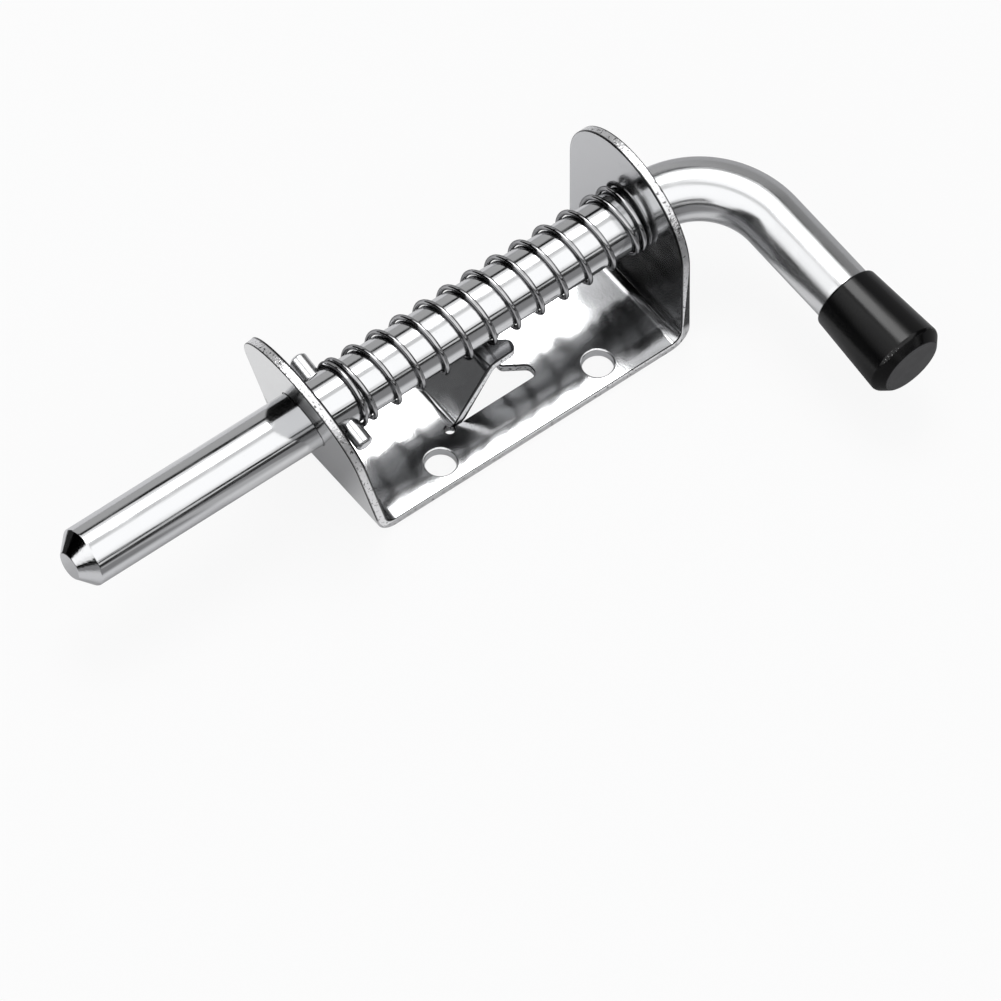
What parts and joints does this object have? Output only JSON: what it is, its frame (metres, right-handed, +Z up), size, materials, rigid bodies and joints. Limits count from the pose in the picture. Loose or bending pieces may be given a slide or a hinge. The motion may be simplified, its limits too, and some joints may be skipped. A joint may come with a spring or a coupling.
{
  "type": "spring bolt",
  "caption": "Spring-loaded round bolt with a bent, capped handle, sliding in a folded sheet bracket with round ears, screw holes and a notched hold-open tongue.",
  "frame": {"origin": "centre of the four screw holes, on the base plate's lower face, under the bolt's axis", "axes": "+Z up out of the mounting surface, +X along the bolt from its chamfered tip towards its bent handle, -Y towards the side on which the handle lies at rest"},
  "size_m": [0.1608, 0.0729, 0.041],
  "materials": {
    "plated_sheet": "bright zinc plate on pressed sheet steel",
    "plated_bar": "bright zinc plate on drawn bar steel",
    "plated_pin": "bright zinc plate on a turned pin",
    "spring_wire": "bright plated spring wire",
    "black_cap": "glossy dipped or moulded soft plastic, lightly scuffed at its bevel"
  },
  "bodies": {
    "bracket": {"bracket": "plated_sheet"},
    "spring": {"spring": "spring_wire"},
    "bolt": {"bolt_rod": "plated_bar", "cross_pin": "plated_pin", "handle_cap": "black_cap"}
  },
  "joints": [
    {"name": "bolt_slide", "type": "slide", "parent": "bracket", "child": "spring", "axis": [1, 0, 0], "range_m": [0, 0.042], "stiffness_N_per_m": 500, "springref_m": -0.02, "deforming": ["spring"]},
    {"name": "handle_turn", "type": "hinge", "parent": "spring", "child": "bolt", "pos_m": [0, 0, 0.022], "axis": [-1, 0, 0], "range_deg": [-7, 100]}
  ]
}
